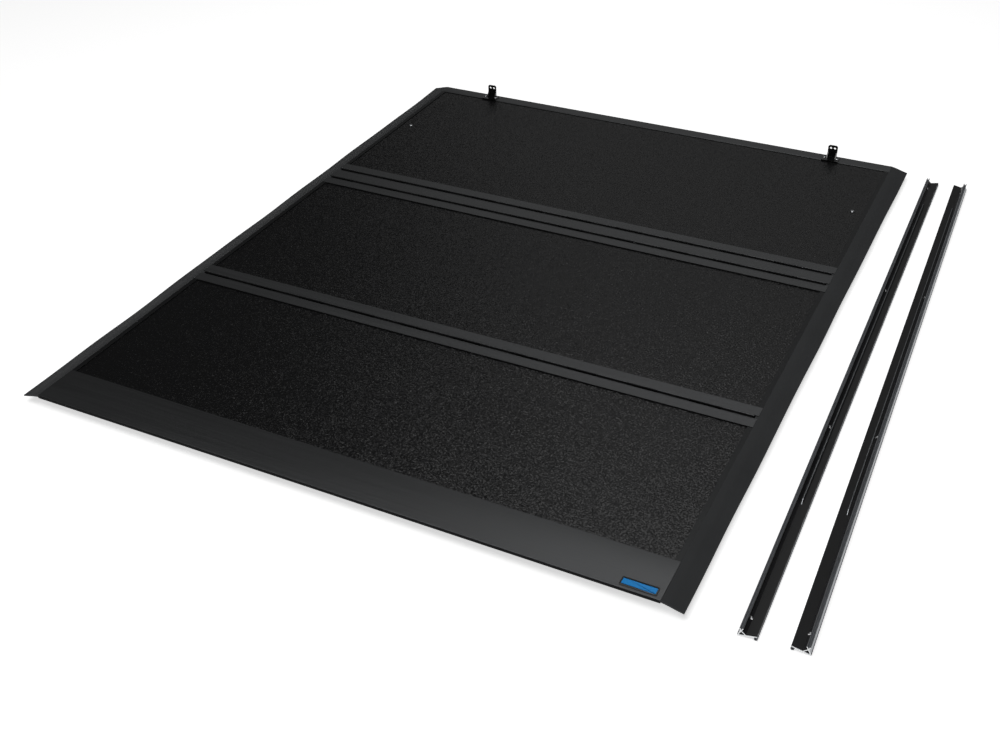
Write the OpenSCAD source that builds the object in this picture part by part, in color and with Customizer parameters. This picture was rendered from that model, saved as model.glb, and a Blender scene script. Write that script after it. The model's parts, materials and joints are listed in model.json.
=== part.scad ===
// Hard tri-fold cover for a pickup bed, lying top side up beside its two loose bed rails.
// +Z is up, +Y points to the cab, +X to the side where the rails lie.
// The origin is on the underside, in the middle of the middle panel.

/* [Cover] */
// Width over the panel edges, where the side flaps start
cover_w = 1508; // [1300:1:1560]
// Distance from the cab-side hinge axis to the front edge
front_len = 697; // [620:1:760]
// Distance between the two axes of the double hinge
spacer_len = 55; // [50:1:70]
// Distance between the hinge axes of the middle panel
middle_len = 616; // [560:1:680]
// How much shorter the rear panel is than the middle one
rear_shorter = 5; // [4:1:12]
// Depth of the aluminium frame
frame_h = 30; // [28:1:40]
// Thickness of the sandwich panel
panel_t = 16; // [14:1:20]

/* [Frame extrusions] */
// Wall of the extrusions
wall = 3; // [2:0.5:4]
// Visible width of each hinge extrusion
leaf_w = 34; // [28:1:44]
// Width of the dark groove at each hinge
groove_w = 10; // [8:1:14]
// Visible width of the front extrusion
front_rail_w = 41; // [30:1:60]
// Visible width of the side extrusions
side_rail_w = 12; // [11:1:16]
// Width of the rear trim plate
trim_w = 113; // [80:1:130]

/* [Hinges] */
// Knuckles along each hinge
knuckle_count = 20; // [10:2:30]
// Radius of the knuckles
knuckle_r = 3; // [3:0.1:3.6]
// Radius of the hinge pins
pin_r = 1.5; // [1.2:0.1:1.8]

/* [Side flaps] */
// How far the flaps reach out past the panels
flap_w = 48; // [30:1:70]
// How far the outer edge of the flaps drops
flap_drop = 13; // [8:1:16]

/* [Front brackets] */
// Distance of the brackets from the middle of the cover
bracket_x = 576; // [450:1:650]
// Width of the upright tab
tab_w = 29; // [24:1:40]
// Height of the upright tab above the front extrusion
tab_h = 40; // [30:1:45]
// Distance between the two holes in the tab
tab_pitch = 12; // [11:1:14]
// Radius of the holes in the tab
tab_hole_r = 3.2; // [2.5:0.1:3.4]

/* [Latches] */
// Radius of the latch bolts
bolt_r = 4.5; // [4:0.5:4.5]
// How far the latch bolts stick out past the side extrusions
bolt_reach = 16; // [12:1:17]
// Distance of the hold-down bolts from the middle of the cover
hold_x = 714; // [700:1:718]

/* [Bed rails] */
// Length of the bed rails
bed_rail_len = 1960; // [1600:1:2000]
// Width of the bed rails
bed_rail_w = 37; // [36:1:44]
// Radius of the screw holes in the bed rails
bed_rail_hole_r = 3.5; // [2.5:0.5:4]

/* [Hidden] */

$fn = 48;
eps = 0.01;
rear_len = middle_len - rear_shorter;

// Hinge axes, in front of and behind the middle panel
axis_c = -middle_len / 2;
axis_b = middle_len / 2;
axis_a = axis_b + spacer_len;
front_y = axis_a + front_len;
rear_y = axis_c - rear_len;

// Levels
top_z = frame_h + wall;
axis_z = top_z + 1;
liner_z = frame_h - panel_t;
skin_t = 1.2;

// Places across the cover
half_w = cover_w / 2;
track_w = 8;
side_web = 2;
panel_half = half_w - track_w - side_web - 0.5;
groove = groove_w / 2;
leaf_end = groove + leaf_w;
panel_gap = groove + wall + 1;
foot_w = 20;
shelf_w = 27;

// Hinge knuckles
hinge_len = cover_w - 18;
knuckle_pitch = hinge_len / knuckle_count;
knuckle_gap = 0.6;
pin_play = 0.1;

// Front and rear edges of the sandwich panels
front_panel_end = front_y - wall - 1;
tail_web_y = rear_y + 54;
rear_panel_end = tail_web_y + wall + 1;
trim_front_y = rear_y + trim_w;

// Hold-down bolts and jaws
hold_y = front_y - 329;
hold_r = 3;
jaw_z = 5;
jaw_t = 4;
jaw_w = 20;
jaw_reach = 34;

// Latch mechanism, in the recess under the rear panel
latch_y = axis_c - 430;
crank_r = 24;
latch_z = 6;
guide_z = 0.4;
rod_r = 3;
bolt_len = 84;
guide_len = 34;
guide_x = half_w - 62;
rod_guide_len = 18;
spring_guide_x = guide_x - 93;
middle_guide_x = 300;
guide_screw_y = 9.2;
collar_w = 5;
spring_len = 22;
latch_travel = 17;
hub_r = 30;
crank_pin_r = 3;
slot_play = 1;
eye_end = 40;
lever_len = 82;
plate_z = liner_z - 0.8;
plate_t = 3.4;

// Front brackets
plate_w = 50;
plate_d = 28;
bracket_t = 3;
bracket_y = front_y - 34;
tab_y = bracket_y + 19;
screw_x = 19;
screw_r = 2.4;

// Badge
badge_w = 75;
badge_d = 23;
badge_x = half_w - 48;
badge_y = rear_y + 18;

// Bed rails: place of the middle of each rail and its turn about Z
rail_left_at = [897, 71];
rail_left_turn = 1.2;
rail_right_at = [986, 78];
rail_right_turn = 1.7;
rail_top = 20;
rail_hole_u = 13.5;
rail_hole_in = 44;
rail_edge = 8.4;
rail_seal_r = 3.7;
rail_seal_wall = 1.4;
rail_seal_stem = 1.6;
rail_seal_u = bed_rail_w - 2.4;
rail_strip_u = 19.2;
rail_strip_top = 13.4;

// A section drawn in Y and Z, run along X
module along_x(length) {
  rotate([90, 0, 90]) translate([0, 0, -length / 2]) linear_extrude(height = length) children();
}

// A section drawn in X and Z, run from y_from to y_to
module along_y(y_from, y_to) {
  translate([0, y_to, 0]) rotate([90, 0, 0]) linear_extrude(height = y_to - y_from) children();
}

// A block between two corners
module box(low, high) {
  translate(low) cube(high - low);
}

// A flat bar in a section, from p to q
module bar(p, q, t) {
  d = q - p;
  n = [-d[1], d[0]] * t / 2 / norm(d);
  polygon([p - n, q - n, q + n, p + n]);
}

module mirrored_x(flip) {
  if (flip) mirror([1, 0, 0]) children();
  else children();
}

// ---- Sandwich panels ----

module sheet(y_from, y_to, z_from, z_to) {
  box([-panel_half, y_from, z_from], [panel_half, y_to, z_to]);
}

module hold_down_holes() {
  for (side = [-1, 1])
    translate([side * hold_x, hold_y, -1]) cylinder(r = hold_r + 0.2, h = frame_h + 2);
}

module panel_layer(y_from, y_to, layer) {
  levels = [liner_z, liner_z + skin_t, frame_h - skin_t, frame_h];
  sheet(y_from, y_to, levels[layer], levels[layer + 1]);
}

module front_layer(layer) {
  difference() {
    panel_layer(axis_a + panel_gap, front_panel_end, layer);
    hold_down_holes();
  }
}

module front_liner() { color("#26262a") front_layer(0); }
module front_core() { color("#c9c2ae") front_layer(1); }
module front_skin() { color("#17181a") front_layer(2); }

module middle_layer(layer) {
  panel_layer(axis_c + panel_gap, axis_b - panel_gap, layer);
}

module middle_liner() { color("#26262a") middle_layer(0); }
module middle_core() { color("#c9c2ae") middle_layer(1); }
module middle_skin() { color("#17181a") middle_layer(2); }

module rear_layer(layer) {
  panel_layer(rear_panel_end, axis_c - panel_gap, layer);
}

module rear_liner() { color("#26262a") rear_layer(0); }
module rear_core() { color("#c9c2ae") rear_layer(1); }
module rear_skin() { color("#17181a") rear_layer(2); }

// ---- Hinges ----

// One channel of a hinge extrusion: u is the distance from the hinge axis
module leaf_section() {
  polygon([
    [groove, 0], [groove + foot_w, 0], [groove + foot_w, wall], [groove + wall, wall],
    [groove + wall, liner_z - wall], [groove + shelf_w, liner_z - wall],
    [groove + shelf_w, liner_z], [groove + wall, liner_z], [groove + wall, frame_h],
    [leaf_end, frame_h], [leaf_end, top_z - 1], [leaf_end - 1, top_z],
    [groove + 1, top_z], [groove, top_z - 1],
  ]);
}

// Every second knuckle along a hinge, with the webs that carry them
module knuckles(phase) {
  knuckle = knuckle_pitch - knuckle_gap;
  for (i = [phase : 2 : knuckle_count - 1])
    translate([-hinge_len / 2 + i * knuckle_pitch + knuckle_gap / 2, 0, axis_z])
      difference() {
        union() {
          rotate([0, 90, 0]) cylinder(r = knuckle_r, h = knuckle);
          translate([0, 0, -knuckle_r]) cube([knuckle, groove + 0.5, knuckle_r - 1]);
        }
        translate([-1, 0, 0]) rotate([0, 90, 0]) cylinder(r = pin_r + pin_play, h = knuckle + 2);
      }
}

// A hinge extrusion on the +Y side of its axis, or on the -Y side
module leaf(y_axis, side, phase) {
  translate([0, y_axis, 0]) mirror([0, side < 0 ? 1 : 0, 0]) {
    along_x(cover_w) leaf_section();
    knuckles(phase);
  }
}

module hinge_pin(y_axis) {
  translate([-hinge_len / 2, y_axis, axis_z]) rotate([0, 90, 0]) cylinder(r = pin_r, h = hinge_len);
}

// A ribbed rubber strip that closes the slot below the knuckles
module groove_seal(y_axis, side) {
  translate([0, y_axis, 0]) mirror([0, side < 0 ? 1 : 0, 0]) along_x(cover_w - 20)
    polygon([
      [groove, 16], [groove, 28], [groove - 2, 29.5], [-groove + 1.5, 29.5],
      [-groove + 0.8, 28], [-groove + 1.5, 26.5], [groove - 4, 25], [groove - 4, 19],
      [-groove + 1.5, 18], [-groove + 1.5, 16],
    ]);
}

module front_hinge_leaf() { color("#34363a") leaf(axis_a, 1, 0); }
module middle_front_leaf() { color("#34363a") leaf(axis_b, -1, 1); }
module middle_rear_leaf() { color("#34363a") leaf(axis_c, 1, 0); }
module rear_hinge_leaf() { color("#34363a") leaf(axis_c, -1, 1); }

// The link between the two axes of the double hinge
module hinge_spacer() {
  color("#34363a") {
    translate([0, axis_b, 0]) along_x(cover_w) difference() {
      polygon([
        [groove, 0], [spacer_len - groove, 0], [spacer_len - groove, top_z - 1],
        [spacer_len - groove - 1, top_z], [groove + 1, top_z], [groove, top_z - 1],
      ]);
      for (cell = [0, 1])
        translate([groove + wall + cell * (spacer_len / 2 - groove - wall / 2), wall])
          square([spacer_len / 2 - groove - 1.5 * wall, frame_h - wall]);
    }
    translate([0, axis_b, 0]) knuckles(0);
    translate([0, axis_a, 0]) mirror([0, 1, 0]) knuckles(1);
  }
}

module front_hinge_pin() { color("#9a9da1") hinge_pin(axis_a); }
module spacer_hinge_pin() { color("#9a9da1") hinge_pin(axis_b); }
module middle_hinge_pin() { color("#9a9da1") hinge_pin(axis_c); }

module spacer_seals() {
  color("#0d0d0e") {
    groove_seal(axis_a, -1);
    groove_seal(axis_b, 1);
  }
}

module rear_hinge_seal() { color("#0d0d0e") groove_seal(axis_c, -1); }

// ---- Edge extrusions ----

module front_edge_extrusion() {
  color("#3c3e42") difference() {
    translate([0, front_y, 0]) along_x(cover_w) polygon([
      [0, 0], [0, top_z - 2], [-1, top_z - 1], [-front_rail_w + 1, top_z - 1],
      [-front_rail_w, top_z - 1.5], [-front_rail_w, frame_h], [-wall, frame_h],
      [-wall, liner_z], [-foot_w - 6, liner_z], [-foot_w - 6, liner_z - wall],
      [-wall, liner_z - wall], [-wall, wall], [-foot_w, wall], [-foot_w, 0],
    ]);
    for (side = [-1, 1], pair = [-1, 1])
      translate([side * bracket_x + pair * screw_x, bracket_y + 6, frame_h - 1])
        cylinder(r = screw_r + 0.1, h = 4);
  }
}

// The side extrusion holds the panel edge inside and the flap's bead outside
module side_section() {
  track_x = half_w - track_w;
  difference() {
    union() {
      translate([track_x - side_web, liner_z - wall])
        square([side_web, panel_t + wall + 2]);
      translate([half_w - side_rail_w, frame_h]) square([side_rail_w, 2]);
      translate([track_x - 22, liner_z - wall]) square([22, wall]);
      translate([track_x - eps, 21.5]) square([track_w + eps, frame_h + 2 - 21.5]);
    }
    translate([half_w - 4.5, 26.5]) circle(r = 2.6);
    translate([half_w - 4.5, 25.2]) square([6, 2.6]);
  }
}

module side_extrusion(y_from, y_to, flip) {
  mirrored_x(flip) along_y(y_from, y_to) side_section();
}

module front_side_extrusion_left() {
  color("#55585c") side_extrusion(axis_a + leaf_end, front_y - front_rail_w, true);
}
module front_side_extrusion_right() {
  color("#55585c") side_extrusion(axis_a + leaf_end, front_y - front_rail_w, false);
}
module middle_side_extrusion_left() {
  color("#55585c") side_extrusion(axis_c + leaf_end, axis_b - leaf_end, true);
}
module middle_side_extrusion_right() {
  color("#55585c") side_extrusion(axis_c + leaf_end, axis_b - leaf_end, false);
}
module rear_side_extrusion_left() {
  color("#55585c") side_extrusion(trim_front_y, axis_c - leaf_end, true);
}
module rear_side_extrusion_right() {
  color("#55585c") side_extrusion(trim_front_y, axis_c - leaf_end, false);
}

// The wide plate across the tail, with a web and a lip over the tailgate
module rear_trim_extrusion() {
  color("#3a3c40") along_x(cover_w) polygon([
    [trim_front_y, frame_h], [trim_front_y, top_z - 0.5], [trim_front_y - 0.5, top_z],
    [rear_y + 2, top_z], [rear_y + 0.6, top_z - 0.6], [rear_y, top_z - 2],
    [rear_y, top_z - 8], [rear_y + wall, top_z - 8], [rear_y + wall, frame_h],
    [tail_web_y, frame_h], [tail_web_y, 0], [tail_web_y + foot_w, 0],
    [tail_web_y + foot_w, wall], [tail_web_y + wall, wall],
    [tail_web_y + wall, liner_z - wall], [tail_web_y + shelf_w, liner_z - wall],
    [tail_web_y + shelf_w, liner_z], [tail_web_y + wall, liner_z],
    [tail_web_y + wall, frame_h],
  ]);
}

module rear_badge() {
  color("#1c5fa8") translate([badge_x, badge_y, top_z]) {
    corner = 3;
    difference() {
      union() {
        for (x = [-1, 1], y = [-1, 1])
          translate([x * (badge_w / 2 - corner), y * (badge_d / 2 - corner), 0])
            cylinder(r = corner, h = 1.6);
        translate([-badge_w / 2 + corner, -badge_d / 2, 0])
          cube([badge_w - 2 * corner, badge_d, 1.6]);
        translate([-badge_w / 2, -badge_d / 2 + corner, 0])
          cube([badge_w, badge_d - 2 * corner, 1.6]);
      }
      translate([-badge_w / 2 + 3, -badge_d / 2 + 3, 1.2]) cube([badge_w - 6, badge_d - 6, 1]);
    }
  }
}

// ---- Stiffeners and seals underneath ----

// A hollow bow that stiffens a panel and rests on whatever the cover lies on
module cross_bow(y_mid, length) {
  translate([0, y_mid, 0]) along_x(length) difference() {
    translate([-24, 0]) square([48, liner_z]);
    translate([-24 + 2, 2]) square([44, liner_z - 4]);
  }
}

module front_cross_bow() { color("#44464a") cross_bow(axis_a + 260, 1360); }
module middle_cross_bow() { color("#44464a") cross_bow(0, 1360); }
module rear_cross_bow() { color("#44464a") cross_bow(axis_c - 250, 1360); }

// A hollow rubber strip under the panel
module bulb_seal(y_mid, length) {
  translate([0, y_mid, 0]) along_x(length) difference() {
    union() {
      translate([0, 6]) circle(r = 6);
      translate([-8, liner_z - 3]) square([16, 3]);
      translate([-4, 6]) square([8, liner_z - 7]);
    }
    translate([0, 6]) circle(r = 4.2);
  }
}

module bulkhead_seal() { color("#101011") bulb_seal(front_y - 52, 1440); }

// The tail seal hangs from the trim plate, behind the web
module tail_seal() {
  color("#101011") translate([0, tail_web_y - 12, 0]) along_x(1440) difference() {
    union() {
      translate([0, 9]) circle(r = 9);
      translate([-8, frame_h - 3]) square([16, 3]);
      translate([-3, 12]) square([6, frame_h - 13]);
    }
    translate([0, 9]) circle(r = 6.8);
  }
}

// ---- Side flaps ----

// A rubber skirt: a bead in the side extrusion's track, then a drooping flap
module flap_section() {
  x0 = half_w + 0.5;
  z0 = frame_h + 1.8;
  union() {
    translate([half_w - 4.5, 26.5]) circle(r = 2.2);
    translate([half_w - 4.5, 25.6]) square([7, 1.8]);
    polygon([
      [x0, z0], [x0 + 0.42 * flap_w, z0 - 0.12 * flap_drop],
      [x0 + 0.72 * flap_w, z0 - 0.45 * flap_drop], [x0 + flap_w - 1, z0 - flap_drop],
      [x0 + flap_w - 3, z0 - flap_drop - 2], [x0 + 0.7 * flap_w, z0 - 0.45 * flap_drop - 3],
      [x0 + 0.42 * flap_w, z0 - 0.12 * flap_drop - 3.4], [x0, z0 - 7],
    ]);
  }
}

module flap_skirt() {
  intersection() {
    flap_section();
    translate([half_w + 0.5, 0]) square([flap_w + 10, 50]);
  }
}

// The bead stops where the side extrusion stops
module flap(y_from, y_to, bead_from, bead_to, flip) {
  color("#1b1c1e") mirrored_x(flip) {
    along_y(y_from, y_to) flap_skirt();
    if (bead_to > bead_from) along_y(bead_from, bead_to) flap_section();
  }
}

flap_cut = 1;
module front_flap(flip) {
  flap(axis_a + flap_cut, front_y, axis_a + leaf_end, front_y - front_rail_w, flip);
}
module middle_flap(flip) {
  flap(axis_c + flap_cut, axis_b - flap_cut, axis_c + leaf_end, axis_b - leaf_end, flip);
}
module rear_flap(flip) {
  flap(rear_y, axis_c - flap_cut, trim_front_y, axis_c - leaf_end, flip);
}
module spacer_flap(flip) {
  flap(axis_b + flap_cut, axis_a - flap_cut, 0, 0, flip);
}

module front_flap_left() { front_flap(true); }
module front_flap_right() { front_flap(false); }
module middle_flap_left() { middle_flap(true); }
module middle_flap_right() { middle_flap(false); }
module rear_flap_left() { rear_flap(true); }
module rear_flap_right() { rear_flap(false); }
module spacer_flap_left() { spacer_flap(true); }
module spacer_flap_right() { spacer_flap(false); }

// ---- Front brackets ----

module front_bracket(side) {
  color("#121314") translate([side * bracket_x, bracket_y, top_z - 1]) difference() {
    union() {
      box([-plate_w / 2, -plate_d / 2 + 6, 0], [plate_w / 2, plate_d / 2 + 6, bracket_t]);
      translate([0, tab_y - bracket_y + bracket_t / 2, 0]) rotate([90, 0, 0])
        translate([0, 0, -bracket_t / 2]) linear_extrude(height = bracket_t) polygon([
          [-tab_w / 2, 0], [tab_w / 2, 0], [tab_w / 2, tab_h - 4], [tab_w / 2 - 4, tab_h],
          [-tab_w / 2 + 4, tab_h], [-tab_w / 2, tab_h - 4],
        ]);
      for (x = [-1, 1])
        translate([x * (tab_w / 2 - 1.5) - 1.5, tab_y - bracket_y, bracket_t - 1])
          rotate([90, 0, 90]) linear_extrude(height = 3) polygon([[0, 0], [-12, 0], [0, 16]]);
    }
    for (x = [-1, 1]) {
      translate([x * screw_x, 6, -1]) cylinder(r = screw_r + 0.1, h = bracket_t + 2);
      translate([x * tab_pitch / 2, 0, tab_h - 9]) rotate([-90, 0, 0])
        cylinder(r = tab_hole_r, h = 40);
    }
  }
}

module front_bracket_left() { front_bracket(-1); }
module front_bracket_right() { front_bracket(1); }

// A pan-head screw, head up, with its head resting at z = 0
module pan_screw(r, length, head_r, head_h) {
  translate([0, 0, -length]) cylinder(r = r, h = length + eps);
  difference() {
    union() {
      cylinder(r = head_r, h = head_h * 0.6);
      translate([0, 0, head_h * 0.6]) cylinder(r1 = head_r, r2 = head_r * 0.7, h = head_h * 0.4);
    }
    translate([-head_r * 0.55, -0.4, head_h * 0.5]) cube([head_r * 1.1, 0.8, head_h]);
    translate([-0.4, -head_r * 0.55, head_h * 0.5]) cube([0.8, head_r * 1.1, head_h]);
  }
}

module bracket_screws() {
  color("#d8dadc") for (side = [-1, 1], pair = [-1, 1])
    translate([side * bracket_x + pair * screw_x, bracket_y + 6, top_z - 1 + bracket_t])
      pan_screw(screw_r, 4.9, 4.2, 3);
}

// ---- Hold-downs of the front panel ----

module hold_down_bolts() {
  color("#c8cacc") for (side = [-1, 1]) translate([side * hold_x, hold_y, 0]) {
    translate([0, 0, frame_h]) pan_screw(hold_r, frame_h - 1, 6, 3);
    translate([0, 0, 1]) cylinder(r = 6, h = 3.6, $fn = 6);
    translate([0, 0, jaw_z + jaw_t + 0.4]) cylinder(r = 6, h = liner_z - jaw_z - jaw_t - 0.4);
  }
}

// A jaw that swings out under the bed rail's flange
module hold_down_jaw(side) {
  color("#8b8e92") translate([side * hold_x, hold_y, jaw_z]) difference() {
    union() {
      cylinder(r = jaw_w / 2, h = jaw_t);
      box([-jaw_w / 2, -jaw_reach + 4, 0], [jaw_w / 2, 0, jaw_t]);
      translate([0, -jaw_reach + 4, 0]) cylinder(r = jaw_w / 2, h = jaw_t);
    }
    translate([0, 0, -1]) cylinder(r = hold_r + 0.1, h = jaw_t + 2);
  }
}

module hold_down_jaw_left() { hold_down_jaw(-1); }
module hold_down_jaw_right() { hold_down_jaw(1); }

// ---- Latches of the rear panel ----

// The right latch, or the left one turned half way round the handle's pivot
module latch_side(side) {
  translate([0, latch_y, 0]) rotate([0, 0, side < 0 ? 180 : 0]) children();
}

module guide_block(x_mid, length, bore_r) {
  difference() {
    translate([x_mid - length / 2, crank_r - 13, guide_z]) cube([length, 26, liner_z - guide_z]);
    translate([x_mid - length, crank_r, latch_z]) rotate([0, 90, 0])
      cylinder(r = bore_r, h = 2 * length);
    for (y = [-1, 1])
      translate([x_mid, crank_r + y * guide_screw_y, guide_z]) {
        translate([0, 0, -1]) cylinder(r = 2.1, h = liner_z + 2);
        translate([0, 0, -eps]) cylinder(r1 = 3.7, r2 = 2.1, h = 1.6);
      }
  }
}

module latch_guides() {
  color("#1d1e20") for (side = [-1, 1]) latch_side(side) {
    guide_block(guide_x, guide_len, bolt_r + 0.1);
    guide_block(spring_guide_x, rod_guide_len, rod_r + 0.1);
    guide_block(middle_guide_x, rod_guide_len, rod_r + 0.1);
  }
}

module latch_screws() {
  color("#c8cacc") for (side = [-1, 1]) latch_side(side)
    for (x = [guide_x, spring_guide_x, middle_guide_x], y = [-1, 1])
      translate([x, crank_r + y * guide_screw_y, guide_z]) {
        cylinder(r = 2, h = liner_z + 4);
        cylinder(r1 = 3.6, r2 = 2, h = 1.6);
      }
}

// A bolt with its rod, its collar and a slotted eye for the crank pin
module latch_bolt(side) {
  tip = half_w + bolt_reach;
  collar_x = spring_guide_x + rod_guide_len / 2 + spring_len + latch_travel + 1;
  free_len = bolt_reach - 2;
  color("#b9bcc0") latch_side(side) translate([0, crank_r, latch_z]) {
    translate([tip - bolt_len, 0, 0]) rotate([0, 90, 0])
      cylinder(r = bolt_r, h = bolt_len - bolt_reach);
    translate([half_w - eps, 0, 0]) rotate([0, 90, 0])
      cylinder(r = bolt_r - 0.5, h = free_len + eps);
    translate([tip - 2 - eps, 0, 0]) rotate([0, 90, 0])
      cylinder(r1 = bolt_r - 0.5, r2 = bolt_r - 2.5, h = 2 + eps);
    translate([eye_end - 4, 0, 0]) rotate([0, 90, 0])
      cylinder(r = rod_r, h = tip - bolt_len - eye_end + 5);
    translate([collar_x, 0, 0]) rotate([0, 90, 0]) cylinder(r = bolt_r, h = collar_w);
    difference() {
      box([-9, -14, -1.8], [eye_end, 7, 1.8]);
      box([-crank_pin_r - slot_play, -11, -3], [crank_pin_r + slot_play, 4, 3]);
    }
  }
}

module latch_bolt_left() { latch_bolt(-1); }
module latch_bolt_right() { latch_bolt(1); }

// Springs, drawn at their shortest, against the blocks that they push from
module latch_springs() {
  color("#a7aaae") for (side = [-1, 1]) latch_side(side)
    translate([spring_guide_x + rod_guide_len / 2, crank_r, latch_z]) rotate([0, 90, 0])
      difference() {
        cylinder(r = bolt_r + 1, h = spring_len);
        translate([0, 0, -1]) cylinder(r = bolt_r - 1, h = spring_len + 2);
      }
}

module release_handle() {
  color("#161719") translate([0, latch_y, 0]) difference() {
    union() {
      translate([0, 0, plate_z - plate_t]) cylinder(r = hub_r, h = plate_t);
      for (side = [-1, 1])
        translate([0, side * crank_r, 3.6]) cylinder(r = crank_pin_r, h = plate_z - 5);
      box([-9, -lever_len, plate_z - plate_t], [9, 0, plate_z]);
      translate([0, -lever_len, plate_z - plate_t]) cylinder(r = 9, h = plate_t);
      translate([0, -lever_len, 1.5]) cylinder(r = 7, h = plate_z - 2);
    }
    translate([0, 0, -1]) cylinder(r = 4.1, h = liner_z + 2);
  }
}

module handle_pivot() {
  color("#c8cacc") translate([0, latch_y, 0]) {
    translate([0, 0, plate_z - plate_t - 0.4]) cylinder(r = 4, h = 8);
    translate([0, 0, plate_z - plate_t - 2.4]) cylinder(r = 6.5, h = 2 + eps);
  }
}

// ---- Loose bed rails ----

// Heights of the upper and lower faces of a rail's plate
function plate_top(u) = 2.6 + (rail_edge - 0.4) * u / bed_rail_w;
function plate_under(u) = rail_edge * (u - 3) / (bed_rail_w - 3);

// The section of a rail as it lies: u runs from the wedge to the plate's free edge
module bed_rail_section() {
  union() {
    polygon([
      [0, 0], [3, 0], [bed_rail_w, plate_under(bed_rail_w)], [bed_rail_w, plate_top(bed_rail_w)],
      [0, plate_top(0)],
    ]);
    bar([1, 0.8], [6.6, 13.4], 2);
    bar([17.2, 4], [6, 14], 2);
    bar([6.8, 12.4], [3.6, rail_top - 0.6], 1.8);
    bar([6.4, 13], [10, rail_top - 0.6], 1.8);
  }
}

// A rail drawn with its middle at the origin, its wedge towards -X
module bed_rail() {
  difference() {
    translate([-bed_rail_w / 2, 0, 0])
      along_y(-bed_rail_len / 2, bed_rail_len / 2) bed_rail_section();
    for (y = rail_holes())
      translate([rail_hole_u - bed_rail_w / 2, y, -1]) cylinder(r = bed_rail_hole_r, h = rail_top);
  }
}

function rail_holes() =
  let (end = bed_rail_len / 2 - rail_hole_in, step = 2 * end / 3)
  [for (i = [0 : 3]) -end + i * step];

module place_rail(side) {
  at = side < 0 ? rail_left_at : rail_right_at;
  turn = side < 0 ? rail_left_turn : rail_right_turn;
  translate([at[0], at[1], 0]) rotate([0, 0, turn]) mirrored_x(side > 0) children();
}

module bed_rail_left() { color("#1a1b1d") place_rail(-1) bed_rail(); }
module bed_rail_right() { color("#1a1b1d") place_rail(1) bed_rail(); }

// A thin fin with slanted ends that stands at the foot of the wedge
module rail_catch_strip() {
  foot = bed_rail_len / 2 - 390;
  head = bed_rail_len / 2 - 145;
  low = plate_top(rail_strip_u) - 0.4;
  translate([rail_strip_u - bed_rail_w / 2, 0, 0]) rotate([90, 0, 90])
    linear_extrude(height = 1.6)
      polygon([[-foot, low], [head, low], [head - 12, rail_strip_top], [-foot + 12, rail_strip_top]]);
}

module rail_catch_strip_left() { color("#7d8085") place_rail(-1) rail_catch_strip(); }
module rail_catch_strip_right() { color("#7d8085") place_rail(1) rail_catch_strip(); }

// A hollow rubber bulb under the plate's free edge, whose stem meets the plate
module rail_seal() {
  left = rail_seal_u - rail_seal_stem / 2;
  right = rail_seal_u + rail_seal_stem / 2;
  translate([-bed_rail_w / 2, 0, 0]) along_y(-bed_rail_len / 2, bed_rail_len / 2)
    difference() {
      union() {
        translate([rail_seal_u, rail_seal_r]) circle(r = rail_seal_r);
        polygon([
          [left, rail_seal_r], [right, rail_seal_r], [right, plate_under(right)],
          [left, plate_under(left)],
        ]);
      }
      translate([rail_seal_u, rail_seal_r]) circle(r = rail_seal_r - rail_seal_wall);
    }
}

module rail_seal_left() { color("#0c0c0d") place_rail(-1) rail_seal(); }
module rail_seal_right() { color("#0c0c0d") place_rail(1) rail_seal(); }

front_skin();
front_core();
front_liner();
front_edge_extrusion();
front_side_extrusion_left();
front_side_extrusion_right();
front_hinge_leaf();
front_hinge_pin();
front_cross_bow();
bulkhead_seal();
front_flap_left();
front_flap_right();
front_bracket_left();
front_bracket_right();
bracket_screws();
hold_down_bolts();
hold_down_jaw_left();
hold_down_jaw_right();
hinge_spacer();
spacer_hinge_pin();
spacer_seals();
spacer_flap_left();
spacer_flap_right();
middle_skin();
middle_core();
middle_liner();
middle_side_extrusion_left();
middle_side_extrusion_right();
middle_front_leaf();
middle_rear_leaf();
middle_hinge_pin();
middle_cross_bow();
middle_flap_left();
middle_flap_right();
rear_skin();
rear_core();
rear_liner();
rear_side_extrusion_left();
rear_side_extrusion_right();
rear_hinge_leaf();
rear_hinge_seal();
rear_trim_extrusion();
tail_seal();
rear_badge();
rear_cross_bow();
rear_flap_left();
rear_flap_right();
latch_guides();
latch_screws();
latch_springs();
latch_bolt_left();
latch_bolt_right();
release_handle();
handle_pivot();
bed_rail_left();
bed_rail_right();
rail_catch_strip_left();
rail_catch_strip_right();
rail_seal_left();
rail_seal_right();
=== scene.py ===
"""Looks of a hard folding cover for a pickup bed, with its two loose bed rails."""

import json
import math

import bmesh
import bpy
from bpy.props import FloatProperty, FloatVectorProperty, IntProperty, PointerProperty
from mathutils import Matrix, Vector

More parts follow.
